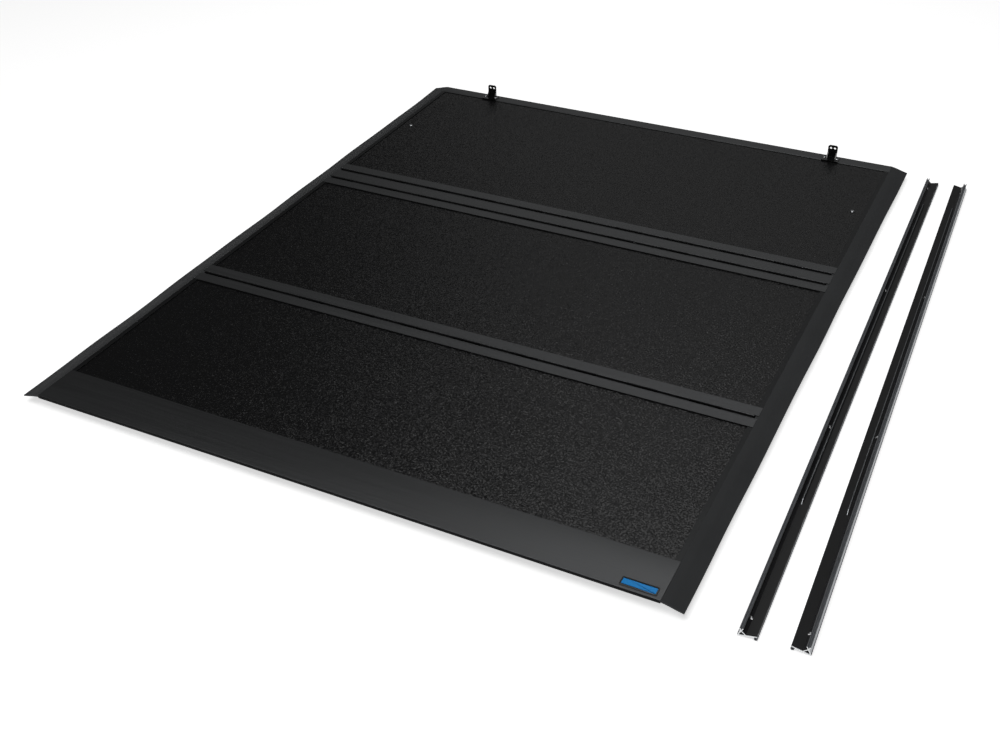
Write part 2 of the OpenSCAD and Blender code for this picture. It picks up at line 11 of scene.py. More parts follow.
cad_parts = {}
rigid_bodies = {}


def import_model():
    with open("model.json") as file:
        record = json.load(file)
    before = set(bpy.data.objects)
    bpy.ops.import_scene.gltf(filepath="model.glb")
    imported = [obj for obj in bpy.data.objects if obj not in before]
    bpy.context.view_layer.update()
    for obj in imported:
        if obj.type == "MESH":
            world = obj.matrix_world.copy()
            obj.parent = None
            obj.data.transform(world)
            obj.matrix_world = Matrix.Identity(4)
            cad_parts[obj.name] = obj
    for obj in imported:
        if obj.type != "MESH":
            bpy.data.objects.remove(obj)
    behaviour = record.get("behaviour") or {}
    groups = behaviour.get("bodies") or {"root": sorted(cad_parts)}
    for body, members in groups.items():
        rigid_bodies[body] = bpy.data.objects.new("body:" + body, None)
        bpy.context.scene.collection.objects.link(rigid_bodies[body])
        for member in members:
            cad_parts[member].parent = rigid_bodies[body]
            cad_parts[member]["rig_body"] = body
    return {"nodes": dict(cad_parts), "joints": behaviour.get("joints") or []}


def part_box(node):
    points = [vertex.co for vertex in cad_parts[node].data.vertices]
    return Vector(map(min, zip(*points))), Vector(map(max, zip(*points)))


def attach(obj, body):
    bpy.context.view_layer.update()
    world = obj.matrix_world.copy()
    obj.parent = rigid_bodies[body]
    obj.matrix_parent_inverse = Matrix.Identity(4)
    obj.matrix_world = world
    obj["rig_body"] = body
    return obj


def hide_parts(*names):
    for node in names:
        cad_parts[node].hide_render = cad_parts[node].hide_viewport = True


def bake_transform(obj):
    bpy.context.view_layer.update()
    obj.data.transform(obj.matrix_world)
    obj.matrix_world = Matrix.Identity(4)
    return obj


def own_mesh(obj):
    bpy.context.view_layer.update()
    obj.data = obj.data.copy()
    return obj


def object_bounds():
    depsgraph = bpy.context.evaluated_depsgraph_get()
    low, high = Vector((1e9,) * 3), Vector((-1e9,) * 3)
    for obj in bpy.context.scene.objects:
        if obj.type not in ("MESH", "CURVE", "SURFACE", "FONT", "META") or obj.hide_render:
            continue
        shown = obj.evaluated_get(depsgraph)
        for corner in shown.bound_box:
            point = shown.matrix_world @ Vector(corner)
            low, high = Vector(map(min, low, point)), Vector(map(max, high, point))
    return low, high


bl_info = {
    "name": "Hard folding bed cover",
    "version": (1, 0, 0),
    "blender": (4, 5, 0),
    "location": "3D View > Sidebar > Bed cover",
    "description": "Adds the finishes, flaps, seals and rounded metalwork to the bed cover's frame",
    "category": "Add Mesh",
}

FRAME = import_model()
CAD_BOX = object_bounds()
NODES = FRAME["nodes"]
JOINTS = {joint["name"]: joint for joint in FRAME["joints"]}

# Hinge lines, as distances towards the cab
AXIS_A = JOINTS["front_fold"]["pos_m"][1]
AXIS_B = JOINTS["middle_fold"]["pos_m"][1]
AXIS_C = JOINTS["rear_fold"]["pos_m"][1]
HALF_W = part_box("front_edge_extrusion")[1].x
FRONT_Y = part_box("front_edge_extrusion")[1].y
REAR_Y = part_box("rear_trim_extrusion")[0].y

# Just under the top of the hinge extrusions, so that only the inside of a groove lies below it and
# gets painted shade
HINGE_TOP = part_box("hinge_spacer")[1].z - 0.0002
# Half the width of a hinge groove and its knuckles, over which the faces get painted shade
GROOVE_REACH = 0.0045

# On a bed rail, faces above the first belong to the lips; the plate's free edge lies between both.
# These bands pick the faces that get painted highlight and painted shade.
RAIL_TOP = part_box("bed_rail_left")[1].z
LIP_FOOT = RAIL_TOP * 0.64
PLATE_FOOT = RAIL_TOP * 0.36


def linear(text):
    """An sRGB hex colour as linear RGBA."""
    parts = [int(text[i : i + 2], 16) / 255 for i in (1, 3, 5)]
    return [c / 12.92 if c <= 0.04045 else ((c + 0.055) / 1.055) ** 2.4 for c in parts] + [1.0]


# ---- Settings ----


class BedCoverSizes(bpy.types.PropertyGroup):
    """Sizes that shape the soft and rounded parts."""

    flap_thickness: FloatProperty(
        name="Flap thickness", description="Thickness of the side flaps", default=0.0026, unit="LENGTH"
    )
    flap_wave: FloatProperty(
        name="Flap wave", description="How far the flaps' free edge wanders up and down",
        default=0.0013, unit="LENGTH",
    )
    edge_round: FloatProperty(
        name="Edge rounding", description="Radius on the edges of the extrusions",
        default=0.0003, unit="LENGTH",
    )
    steel_round: FloatProperty(
        name="Bracket rounding", description="Radius on the edges of the brackets",
        default=0.0007, unit="LENGTH",
    )
    spring_wire: FloatProperty(
        name="Spring wire", description="Radius of the latch springs' wire",
        default=0.0008, unit="LENGTH",
    )
    spring_turns: IntProperty(
        name="Spring turns", description="Turns of each latch spring", default=9, min=4, max=14
    )


class BedCoverColours(bpy.types.PropertyGroup):
    """Colours of the finishes."""

    panel: FloatVectorProperty(
        name="Panel", description="Top sheets of the panels", subtype="COLOR", size=4,
        default=linear("#0b0b0c"),
    )
    metal: FloatVectorProperty(
        name="Extrusions", description="Hinge, front and tail extrusions", subtype="COLOR", size=4,
        default=linear("#565758"),
    )
    rubber: FloatVectorProperty(
        name="Flaps", description="Side flaps", subtype="COLOR", size=4, default=linear("#3c3d3e")
    )
    badge: FloatVectorProperty(
        name="Badge", description="Face of the badge", subtype="COLOR", size=4,
        default=linear("#1590e0"),
    )
    rail: FloatVectorProperty(
        name="Bed rails", description="Coating of the bed rails", subtype="COLOR", size=4,
        default=linear("#29292b"),
    )


# ---- Materials ----


def add(tree, kind, links=None, **settings):
    """Adds a shader node; links maps a socket to a value or to (node, output)."""
    node = tree.nodes.new("ShaderNode" + kind)
    for name, value in settings.items():
        setattr(node, name, value)
    for socket, value in (links or {}).items():
        if isinstance(value, tuple) and isinstance(value[0], bpy.types.Node):
            tree.links.new(value[0].outputs[value[1]], node.inputs[socket])
        else:
            node.inputs[socket].default_value = value
    return node


def finish(name, **sockets):
    """A new material with constant values on its shader, its tree and its shader."""
    material = bpy.data.materials.new(name)
    material.use_nodes = True
    shader = material.node_tree.nodes["Principled BSDF"]
    for socket, value in sockets.items():
        shader.inputs[socket.replace("_", " ")].default_value = value
    return material, material.node_tree, shader


def per(mm):
    """Scale of a texture whose features are that many millimetres wide."""
    return 1000 / mm


def varied(tree, shader, factor, dark, light):
    """Links a colour that runs between two hex colours to the shader."""
    colour = add(tree, "Mix", {0: factor, 6: dark, 7: light}, data_type="RGBA")
    tree.links.new(colour.outputs[2], shader.inputs["Base Color"])


def spread(tree, factor, low, high, first=0.3, last=0.7):
    """Maps a noise to a range."""
    return add(tree, "MapRange", {0: factor, 1: first, 2: last, 3: low, 4: high})


def raised(tree, shader, height, distance, strength=1.0):
    """Links a bump of that height in metres to the shader."""
    bump = add(tree, "Bump", {"Height": height, "Distance": distance, "Strength": strength})
    tree.links.new(bump.outputs[0], shader.inputs["Normal"])
    return bump


def shade(colour, factor):
    """A lighter or darker version of a linear colour."""
    return [min(1.0, c * factor) for c in colour[:3]] + [1.0]


def embossed_panel_sheet():
    """Pebbled polyester sheet: black, with each pebble leaning its own way to catch the light."""
    colour = bpy.context.scene.bed_cover_colours.panel
    material, tree, shader = finish("embossed polyester sheet", Roughness=0.28)
    where = add(tree, "TexCoord")
    # The real pebbles are 1 to 2 mm wide, and are drawn at 3.6 mm so that they show
    pebble = add(tree, "TexNoise", {"Vector": (where, "Object"), "Scale": per(3.6), "Detail": 2.0,
                                    "Roughness": 0.6})
    tilt = 0.65  # how far the pebbles lean
    lean = add(tree, "VectorMath", {0: (pebble, "Color"), 1: (tilt, tilt, 0.0),
                                    2: (0.5 - tilt / 2, 0.5 - tilt / 2, 1.0)},
               operation="MULTIPLY_ADD")
    facet = add(tree, "NormalMap", {"Color": (lean, 0)}, space="OBJECT")
    grain = add(tree, "TexNoise", {"Vector": (where, "Object"), "Scale": per(2.4), "Detail": 3.0,
                                   "Roughness": 0.7})
    bump = raised(tree, shader, (grain, 0), 0.0003, 0.8)
    tree.links.new(facet.outputs[0], bump.inputs["Normal"])
    varied(tree, shader, (grain, 0), shade(colour, 0.7), shade(colour, 1.5))
    return material


def satin_extrusion(name, colour, along, rough=(0.36, 0.46)):
    """Dark anodised aluminium: satin, with faint lines along the extrusion."""
    material, tree, shader = finish(name, Metallic=0.85, Roughness=0.4)
    where = add(tree, "TexCoord")
    stretch = (4.0, per(1.4), per(1.4)) if along == "X" else (per(1.4), 4.0, per(1.4))
    lines = add(tree, "Mapping", {"Vector": (where, "Object"), "Scale": stretch})
    streak = add(tree, "TexNoise", {"Vector": (lines, 0), "Scale": 1.0, "Detail": 3.0})
    speck = add(tree, "TexNoise", {"Vector": (where, "Object"), "Scale": per(1.2), "Detail": 2.0})
    height = add(tree, "Math", {0: (streak, 0), 1: (speck, 0)}, operation="ADD")
    raised(tree, shader, (height, 0), 0.00005, 0.6)
    gloss = spread(tree, (streak, 0), *rough)
    tree.links.new(gloss.outputs[0], shader.inputs["Roughness"])
    varied(tree, shader, (streak, 0), shade(colour, 0.88), shade(colour, 1.14))
    return material


def moulded_rubber(name, colour, rough=0.56):
    """Extruded rubber: soft sheen, fine talc-like mottling."""
    material, tree, shader = finish(name, Roughness=rough, Specular_IOR_Level=0.12)
    where = add(tree, "TexCoord")
    fine = add(tree, "TexNoise", {"Vector": (where, "Object"), "Scale": per(2.2), "Detail": 4.0})
    broad = add(tree, "TexNoise", {"Vector": (where, "Object"), "Scale": per(90), "Detail": 3.0})
    raised(tree, shader, (fine, 0), 0.00012, 0.7)
    gloss = spread(tree, (broad, 0), rough - 0.06, rough + 0.07)
    tree.links.new(gloss.outputs[0], shader.inputs["Roughness"])
    varied(tree, shader, (broad, 0), shade(colour, 0.85), shade(colour, 1.15))
    return material


def powder_coat(name, colour, rough=0.26, coat=0.5):
    """Gloss paint on metal, with the slight orange peel of sprayed powder."""
    material, tree, shader = finish(name, Roughness=rough, Coat_Weight=coat, Coat_Roughness=0.08)
    where = add(tree, "TexCoord")
    peel = add(tree, "TexNoise", {"Vector": (where, "Object"), "Scale": per(2.4), "Detail": 2.0})
    raised(tree, shader, (peel, 0), 0.00003, 0.5)
    broad = add(tree, "TexNoise", {"Vector": (where, "Object"), "Scale": per(35), "Detail": 4.0})
    gloss = spread(tree, (broad, 0), rough - 0.05, rough + 0.08)
    tree.links.new(gloss.outputs[0], shader.inputs["Roughness"])
    varied(tree, shader, (broad, 0), shade(colour, 0.8), shade(colour, 1.25))
    return material


def bright_metal(name, light, dark, rough=(0.22, 0.36), grain=(1.6, 1.6, 1.6)):
    """Bare or plated metal: bright, with cloudy reflections."""
    material, tree, shader = finish(name, Metallic=1.0)
    where = add(tree, "TexCoord")
    scale = tuple(per(g) for g in grain)
    turned = add(tree, "Mapping", {"Vector": (where, "Object"), "Scale": scale})
    cloud = add(tree, "TexNoise", {"Vector": (turned, 0), "Scale": 1.0, "Detail": 3.0})
    raised(tree, shader, (cloud, 0), 0.00004, 0.6)
    gloss = spread(tree, (cloud, 0), *rough)
    tree.links.new(gloss.outputs[0], shader.inputs["Roughness"])
    varied(tree, shader, (cloud, 0), linear(dark), linear(light))
    return material


def glass_fibre_liner():
    """Smooth glass-fibre sheet: black, with fibres just showing in the gloss."""
    material, tree, shader = finish("glass fibre liner", Roughness=0.32)
    where = add(tree, "TexCoord")
    wave = add(tree, "TexNoise", {"Vector": (where, "Object"), "Scale": per(9), "Detail": 6.0,
                                  "Roughness": 0.7, "Distortion": 1.2})
    raised(tree, shader, (wave, 0), 0.0002, 0.5)
    varied(tree, shader, (wave, 0), linear("#121214"), linear("#232327"))
    gloss = spread(tree, (wave, 0), 0.26, 0.42)
    tree.links.new(gloss.outputs[0], shader.inputs["Roughness"])
    return material


def foam_core():
    """Closed-cell foam: pale, with fine cut cells."""
    material, tree, shader = finish("closed-cell foam", Roughness=0.85)
    where = add(tree, "TexCoord")
    cells = add(tree, "TexVoronoi", {"Vector": (where, "Object"), "Scale": per(1.6)})
    raised(tree, shader, (cells, 0), 0.0004, 0.8)
    varied(tree, shader, (cells, 0), linear("#d9cda6"), linear("#b3a67e"))
    return material


def satin_badge_plastic(colour):
    """Satin blue plastic, faintly cloudy."""
    material, tree, shader = finish("satin blue badge plastic", Roughness=0.42,
                                    Specular_IOR_Level=0.3)
    where = add(tree, "TexCoord")
    cloud = add(tree, "TexNoise", {"Vector": (where, "Object"), "Scale": per(6), "Detail": 3.0})
    raised(tree, shader, (cloud, 0), 0.00003, 0.5)
    varied(tree, shader, (cloud, 0), shade(colour, 0.85), shade(colour, 1.15))
    return material


def dull_plastic(name, colour):
    """Moulded nylon: matt black with a spark-eroded texture."""
    material, tree, shader = finish(name, Roughness=0.55)
    where = add(tree, "TexCoord")
    spark = add(tree, "TexNoise", {"Vector": (where, "Object"), "Scale": per(0.9), "Detail": 3.0})
    raised(tree, shader, (spark, 0), 0.00008, 0.7)
    varied(tree, shader, (spark, 0), linear(colour), shade(linear(colour), 1.6))
    return material


# ---- Making pieces ----


def new_piece(name, bm, *materials, smooth_angle=30):
    """Turns a bmesh into an object with those materials, smooth except at sharp edges."""
    bmesh.ops.recalc_face_normals(bm, faces=bm.faces[:])
    mesh = bpy.data.meshes.new(name)
    sharp = math.radians(smooth_angle)
    for face in bm.faces:
        face.smooth = True
    for edge in bm.edges:
        edge.smooth = len(edge.link_faces) == 2 and edge.calc_face_angle(0) < sharp
    bm.to_mesh(mesh)
    bm.free()
    for material in materials:
        mesh.materials.append(material)
    piece = bpy.data.objects.new(name, mesh)
    bpy.context.scene.collection.objects.link(piece)
    return piece


def node_body(node):
    """The body that a CAD node rides on."""
    return NODES[node]["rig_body"]


def paint(node, material):
    """Gives a CAD node its finish."""
    mesh = NODES[node].data
    mesh.materials.clear()
    mesh.materials.append(material)


def merged_copy(node):
    """A bmesh of a CAD node with its loose triangles joined into flat faces."""
    bm = bmesh.new()
    bm.from_mesh(NODES[node].data)
    bmesh.ops.remove_doubles(bm, verts=bm.verts[:], dist=1e-6)
    bmesh.ops.dissolve_limit(bm, angle_limit=math.radians(0.4), verts=bm.verts[:],
                             edges=bm.edges[:], use_dissolve_boundaries=False)
    return bm


def rounded(node, radius, slot, *materials, name=None, choose=None):
    """Stands for a CAD node with a copy whose edges are rounded."""
    bm = merged_copy(node)
    if choose:
        for face in bm.faces:
            face.material_index = choose(face)
    piece = new_piece(name or node + "_finished", bm, *materials)
    bevel = piece.modifiers.new("rounded edges", "BEVEL")
    bevel.width = radius
    bevel.segments = 2
    bevel.limit_method = "ANGLE"
    bevel.angle_limit = math.radians(35)
    bevel.harden_normals = True
    bevel.use_clamp_overlap = True
    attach(piece, node_body(node))
    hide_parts(node)
    return piece


def ring(bm, points):
    """A closed loop of edges through those points."""
    verts = [bm.verts.new(point) for point in points]
    return [bm.edges.new((a, b)) for a, b in zip(verts, verts[1:] + verts[:1])]


def swept(bm, points, steps):
    """Extrudes a closed section through a list of moves and returns its first and last loop."""
    first = ring(bm, points)
    edges = first
    for step in steps:
        made = bmesh.ops.extrude_edge_only(bm, edges=edges)["geom"]
        edges = [item for item in made if isinstance(item, bmesh.types.BMEdge)]
        verts = {vert for edge in edges for vert in edge.verts}
        edges = [edge for edge in edges if all(vert in verts for vert in edge.verts)]
        bmesh.ops.translate(bm, verts=list(verts), vec=step)
    return first, edges


# ---- Panels and metalwork ----


class BEDCOVER_OT_panels(bpy.types.Operator):
    """Finishes the top sheets, foam cores and liners of the three panels"""

    bl_idname = "bed_cover.panels"
    bl_label = "Panels"

    def execute(self, context):
        skin, core, liner = embossed_panel_sheet(), foam_core(), glass_fibre_liner()
        for panel in ("front", "middle", "rear"):
            paint(panel + "_skin", skin)
            paint(panel + "_core", core)
            paint(panel + "_liner", liner)
        return {"FINISHED"}


class BEDCOVER_OT_extrusions(bpy.types.Operator):
    """Rounds and finishes the aluminium extrusions, bows and hinge pins, with black painted shade in
    the hinge grooves and on faces that look back to the tail
    """

    bl_idname = "bed_cover.extrusions"
    bl_label = "Extrusions"

    def execute(self, context):
        colour = context.scene.bed_cover_colours.metal
        radius = context.scene.bed_cover_sizes.edge_round
        across = satin_extrusion("dark anodised extrusion", shade(colour, 1.22), "X")
        tail = satin_extrusion("dark anodised tail plate", shade(colour, 0.82), "X")
        side = satin_extrusion("black anodised side strip", shade(colour, 0.4), "Y")
        bow = satin_extrusion("anodised bow", linear("#3a3c3f"), "X")
        # A near-black matt finish used as painted shade in the hinge grooves and on backward-facing
        # faces
        black = moulded_rubber("black painted shade for grooves and back edges", linear("#121213"), 0.75)

        def painted_groove_shade(face):
            """Painted shade: black inside the hinge grooves and on every face that looks back to the
            tail
            """
            centre = face.calc_center_median()
            gap = min(abs(centre.y - axis) for axis in (AXIS_A, AXIS_B, AXIS_C))
            return 1 if face.normal.y < -0.5 or (gap < GROOVE_REACH and centre.z < HINGE_TOP) else 0

        for node in ("front_edge_extrusion", "front_hinge_leaf", "hinge_spacer",
                     "middle_front_leaf", "middle_rear_leaf", "rear_hinge_leaf"):
            rounded(node, radius, "extrusion", across, black, choose=painted_groove_shade)

        def tail_edge_shade(face):
            """Painted shade: black on the thin edge that faces backwards"""
            return 1 if face.normal.y < -0.8 else 0

        # The tail's thin backward edge is painted black as shade
        rounded("rear_trim_extrusion", radius, "trim_plate", tail, black, choose=tail_edge_shade)
        for panel in ("front", "middle", "rear"):
            for hand in ("left", "right"):
                rounded(f"{panel}_side_extrusion_{hand}", radius, "side_extrusion", side)
            rounded(panel + "_cross_bow", radius, "bow", bow)
        pin = bright_metal("drawn stainless rod", "#a9abad", "#8f9294", (0.25, 0.34), (40, 1.2, 1.2))
        for node in ("front_hinge_pin", "spacer_hinge_pin", "middle_hinge_pin"):
            paint(node, pin)
        return {"FINISHED"}


# ---- Side flaps ----


def flap_height(u):
    """Drop of the flap's top face at u, from 0 at its root to 1 at its free edge."""
    crease = 1 / (1 + math.exp(-(u - 0.45) * 12))
    return 0.8 * u + 0.2 * u * crease


class BEDCOVER_OT_flaps(bpy.types.Operator):
    """Makes the rubber flaps that hang over the bed's sides"""

    bl_idname = "bed_cover.flaps"
    bl_label = "Side flaps"

    def execute(self, context):
        sizes = context.scene.bed_cover_sizes
        rubber = moulded_rubber("extruded flap rubber", context.scene.bed_cover_colours.rubber)
        low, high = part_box("front_flap_right")
        top = high.z
        drop = 0.013
        tip_gap = 0.0008  # room left for the free edge to wander sideways
        x_root = HALF_W
        x_slot = low.x + 0.0002  # the root reaches in here, into the extrusions' slot
        slot_drop = 0.0003
        root_swell = 0.35  # how much thicker the flap is at its root
        width = high.x - x_root - tip_gap
        middle = (AXIS_A + AXIS_B) / 2
        thick = sizes.flap_thickness

        def wave(y):
            return sizes.flap_wave * (0.55 * math.sin(y * 9.3 + 0.4) + 0.45 * math.sin(y * 21.7))

        parts = (
            ("front", FRONT_Y, middle, "front_panel", "spacer", AXIS_A + 0.024, AXIS_A - 0.022,
             ("front_flap", "spacer_flap")),
            ("middle", middle, 0.0, "spacer", "middle_panel", AXIS_B + 0.022, AXIS_B - 0.024,
             ("middle_flap",)),
            ("rear", 0.0, REAR_Y, "middle_panel", "rear_panel", AXIS_C + 0.036, AXIS_C - 0.036,
             ("rear_flap",)),
        )
        count = 18  # points across the flap
        step_length = 0.012
        for hand, side in (("left", -1), ("right", 1)):
            for name, y_from, y_to, body_a, body_b, start, end, nodes in parts:
                bm = bmesh.new()
                upper = [(i / count, top - drop * flap_height(i / count)) for i in range(count + 1)]
                lower = [(u, z - thick * (1 + root_swell * (1 - u))) for u, z in reversed(upper)]
                section = [((x_root + u * width) * side, y_from, z) for u, z in upper + lower]
                section += [(x_slot * side, y_from, z) for z in (lower[-1][1], top - slot_drop)]
                steps = max(8, round(abs(y_to - y_from) / step_length))
                move = Vector((0, (y_to - y_from) / steps, 0))
                first, last = swept(bm, section, [move] * steps)
                bmesh.ops.holes_fill(bm, edges=first + last, sides=0)
                for vert in bm.verts:
                    u = max(0.0, (abs(vert.co.x) - x_root) / width)
                    vert.co.z += wave(vert.co.y + side) * u * u
                    vert.co.x += side * 0.0006 * u * math.sin(vert.co.y * 14 + side)
                piece = new_piece(f"{name}_rubber_flap_{hand}", bm, rubber, smooth_angle=50)
                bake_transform(piece)
                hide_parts(*[f"{node}_{hand}" for node in nodes])
        return {"FINISHED"}


# ---- Seals ----


def bulb_section(radius, mid_z, wall, stem_top, stem_half):
    """Outer and inner outline of a hollow rubber bulb hanging from a flat foot."""
    turns = 28
    start, sweep = 110, 320  # degrees round the bulb, which is open where the stem meets it
    outer = []
    for i in range(turns + 1):
        angle = math.radians(start + sweep * i / turns)
        outer.append((radius * math.cos(angle), mid_z + radius * math.sin(angle)))
    foot, foot_under = 0.0078, 0.0026
    stem_under = 0.003
    ridge, pitch = 0.0009, 0.0012  # height and half spacing of the foot's gripping ridges
    outer += [(stem_half, stem_top - stem_under), (foot, stem_top - foot_under),
              (foot, stem_top - ridge)]
    for i in range(5, -6, -2):
        outer += [(i * pitch + 0.0006, stem_top), (i * pitch - 0.0002, stem_top - ridge * 0.6)]
    outer += [(-foot, stem_top - ridge), (-foot, stem_top - foot_under),
              (-stem_half, stem_top - stem_under)]
    inner = []
    bore_turns = 24
    for i in range(bore_turns):
        angle = 2 * math.pi * i / bore_turns
        inner.append(((radius - wall) * math.cos(angle), mid_z + (radius - wall) * math.sin(angle)))
    return outer, inner


def swept_seal(name, outer, inner, y_mid, half_len, material):
    """A hollow seal across the cover, with its ends closed between the two outlines."""
    bm = bmesh.new()
    steps = [Vector((half_len / 20, 0, 0))] * 40
    ends = [swept(bm, [(-half_len, y_mid + v, z) for v, z in outline], steps)
            for outline in (outer, inner)]
    for k in (0, 1):
        bmesh.ops.triangle_fill(bm, edges=ends[0][k] + ends[1][k], use_beauty=True)
    return new_piece(name, bm, material, smooth_angle=40)


class BEDCOVER_OT_seals(bpy.types.Operator):
    """Makes the rubber seals at the bulkhead, the tail, the hinges and the bed rails"""

    bl_idname = "bed_cover.seals"
    bl_label = "Seals"

    def execute(self, context):
        rubber = moulded_rubber("black sealing rubber", linear("#0e0e0f"), 0.7)
        wall, stem_half, clearance = 0.0017, 0.0026, 0.0001
        for node, body, radius in (("bulkhead_seal", "front_panel", 0.0059),
                                   ("tail_seal", "rear_panel", 0.0088)):
            low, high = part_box(node)
            mid_z = low.z + radius + clearance
            y_mid = (low.y + high.y) / 2
            outer, inner = bulb_section(radius, mid_z, wall, high.z, stem_half)
            piece = swept_seal(node + "_bulb", outer, inner, y_mid, high.x, rubber)
            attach(piece, body)
            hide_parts(node)
        for node in ("spacer_seals", "rear_hinge_seal"):
            rounded(node, 0.0003, "seal_rubber", rubber)
        # The rail seals are painted mid-grey as a highlight on the rails' free edge
        grey = moulded_rubber("rail seal rubber painted grey as highlight", linear("#7b7d80"), 0.5)
        for node in ("rail_seal_left", "rail_seal_right"):
            rounded(node, 0.0003, "seal_rubber", grey)
        return {"FINISHED"}


# ---- Front brackets ----


class BEDCOVER_OT_brackets(bpy.types.Operator):
    """Rounds the folded steel brackets and finishes their screws"""

    bl_idname = "bed_cover.brackets"
    bl_label = "Front brackets"

    def execute(self, context):
        black = powder_coat("black powder coat", linear("#0a0a0b"))
        zinc = bright_metal("bright zinc plate", "#dcdedf", "#bfc2c4")
        for hand in ("left", "right"):
            rounded("front_bracket_" + hand, context.scene.bed_cover_sizes.steel_round,
                    "black_steel", black)
        rounded("bracket_screws", 0.0002, "zinc_steel", zinc)
        return {"FINISHED"}


# ---- Badge ----


class BEDCOVER_OT_badge(bpy.types.Operator):
    """Makes the plain blue badge in its dark frame"""

    bl_idname = "bed_cover.badge"
    bl_label = "Badge"

    def execute(self, context):
        low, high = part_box("rear_badge")
        corner, edge = 0.003, 0.0004
        frame_width, lip_width, lip_depth = 0.0024, 0.0003, 0.0004
        face_margin, face_rise = 0.0012, 0.0002
        frame = powder_coat("black badge frame", linear("#101112"), 0.3, 0.2)
        blue = satin_badge_plastic(context.scene.bed_cover_colours.badge)
        bm = bmesh.new()
        bmesh.ops.create_cube(bm, size=1.0)
        bmesh.ops.scale(bm, verts=bm.verts[:], vec=high - low)
        bmesh.ops.translate(bm, verts=bm.verts[:], vec=(low + high) / 2)
        upright = [e for e in bm.edges if abs(e.verts[0].co.z - e.verts[1].co.z) > 1e-5]
        bmesh.ops.bevel(bm, geom=upright, offset=corner, segments=6, profile=0.5, affect="EDGES",
                        material=-1)
        top = [f for f in bm.faces if f.normal.z > 0.9]
        rim = [e for f in top for e in f.edges]
        bmesh.ops.bevel(bm, geom=rim, offset=edge, segments=2, profile=0.5, affect="EDGES",
                        material=-1)
        top = max((f for f in bm.faces if f.normal.z > 0.99), key=lambda f: f.calc_area())
        bmesh.ops.inset_region(bm, faces=[top], thickness=frame_width, depth=0.0)
        bmesh.ops.inset_region(bm, faces=[top], thickness=lip_width, depth=-lip_depth)
        bmesh.ops.inset_region(bm, faces=[top], thickness=face_margin, depth=face_rise)
        top.material_index = 1
        for side in top.edges:
            for face in side.link_faces:
                face.material_index = 1
        piece = new_piece("blue_badge", bm, frame, blue, smooth_angle=25)
        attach(piece, "rear_panel")
        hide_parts("rear_badge")
        return {"FINISHED"}


# ---- Hold-downs and latches ----


class BEDCOVER_OT_hold_downs(bpy.types.Operator):
    """Finishes the bolts and swinging jaws that clamp the front panel"""

    bl_idname = "bed_cover.hold_downs"
    bl_label = "Hold-downs"

    def execute(self, context):
        zinc = bright_metal("zinc-plated bolt", "#d6d8da", "#b4b7ba")
        jaw = bright_metal("cast aluminium jaw", "#a3a6a9", "#85888b", (0.36, 0.5), (0.9, 0.9, 0.9))
        rounded("hold_down_bolts", 0.0002, "zinc_steel", zinc)
        for hand in ("left", "right"):
            rounded("hold_down_jaw_" + hand, 0.0008, "zinc_steel", jaw)
        return {"FINISHED"}


class BEDCOVER_OT_latches(bpy.types.Operator):
    """Finishes the latch bolts, guides and handle, and winds the springs"""

    bl_idname = "bed_cover.latches"
    bl_label = "Latches"

    def execute(self, context):
        sizes = context.scene.bed_cover_sizes
        steel = bright_metal("bright drawn steel", "#c4c7ca", "#a5a8ab", (0.24, 0.34), (30, 1.2, 1.2))
        wire = bright_metal("spring wire", "#9fa2a5", "#85888b", (0.3, 0.4))
        plastic = dull_plastic("moulded nylon", "#17181a")
        black = powder_coat("black coated steel", linear("#111214"), 0.34, 0.2)
        for hand in ("left", "right"):
            rounded("latch_bolt_" + hand, 0.0004, "zinc_steel", steel)
        rounded("latch_guides", 0.0006, "guide_plastic", plastic)
        rounded("release_handle", 0.0006, "black_steel", black)
        rounded("handle_pivot", 0.0003, "zinc_steel", steel)
        rounded("latch_screws", 0.0002, "zinc_steel", steel)
        self.springs(sizes, wire)
        return {"FINISHED"}

    def springs(self, sizes, material):
        """Coils that fill the room between each guide and its collar"""
        steps_per_turn = 20
        verts = [vert.co for vert in NODES["latch_springs"].data.vertices]
        for hand, side in (("left", -1), ("right", 1)):
            xs = [co.x for co in verts if co.x * side > 0]
            ys = [co.y for co in verts if co.x * side > 0]
            zs = [co.z for co in verts if co.x * side > 0]
            root = min(xs, key=abs)
            centre = Vector((root, (min(ys) + max(ys)) / 2, (min(zs) + max(zs)) / 2))
            radius = (max(ys) - min(ys)) / 2 - sizes.spring_wire
            travel = JOINTS[f"latch_{hand}_slide"]["range_m"][1]
            length = max(xs, key=abs) - root + side * travel
            end_gap = 1.2 * sizes.spring_wire
            start = centre + Vector((side * end_gap, 0, 0))
            bm = bmesh.new()
            made = bmesh.ops.create_circle(bm, segments=8, radius=sizes.spring_wire)
            bmesh.ops.translate(bm, verts=made["verts"], vec=start + Vector((0, radius, 0)))
            steps = steps_per_turn * sizes.spring_turns
            rise = (length - side * 2 * end_gap) / steps
            bmesh.ops.spin(bm, geom=bm.edges[:], cent=centre, axis=(1, 0, 0), dvec=(rise, 0, 0),
                           angle=2 * math.pi * sizes.spring_turns, steps=steps, use_merge=False,
                           use_duplicate=False)
            ends = [edge for edge in bm.edges if len(edge.link_faces) == 1]
            bmesh.ops.holes_fill(bm, edges=ends, sides=0)
            piece = new_piece(f"latch_spring_{hand}", bm, material, smooth_angle=60)
            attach(piece, "rear_panel")
            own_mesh(piece)
            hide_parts("latch_springs")


# ---- Bed rails ----


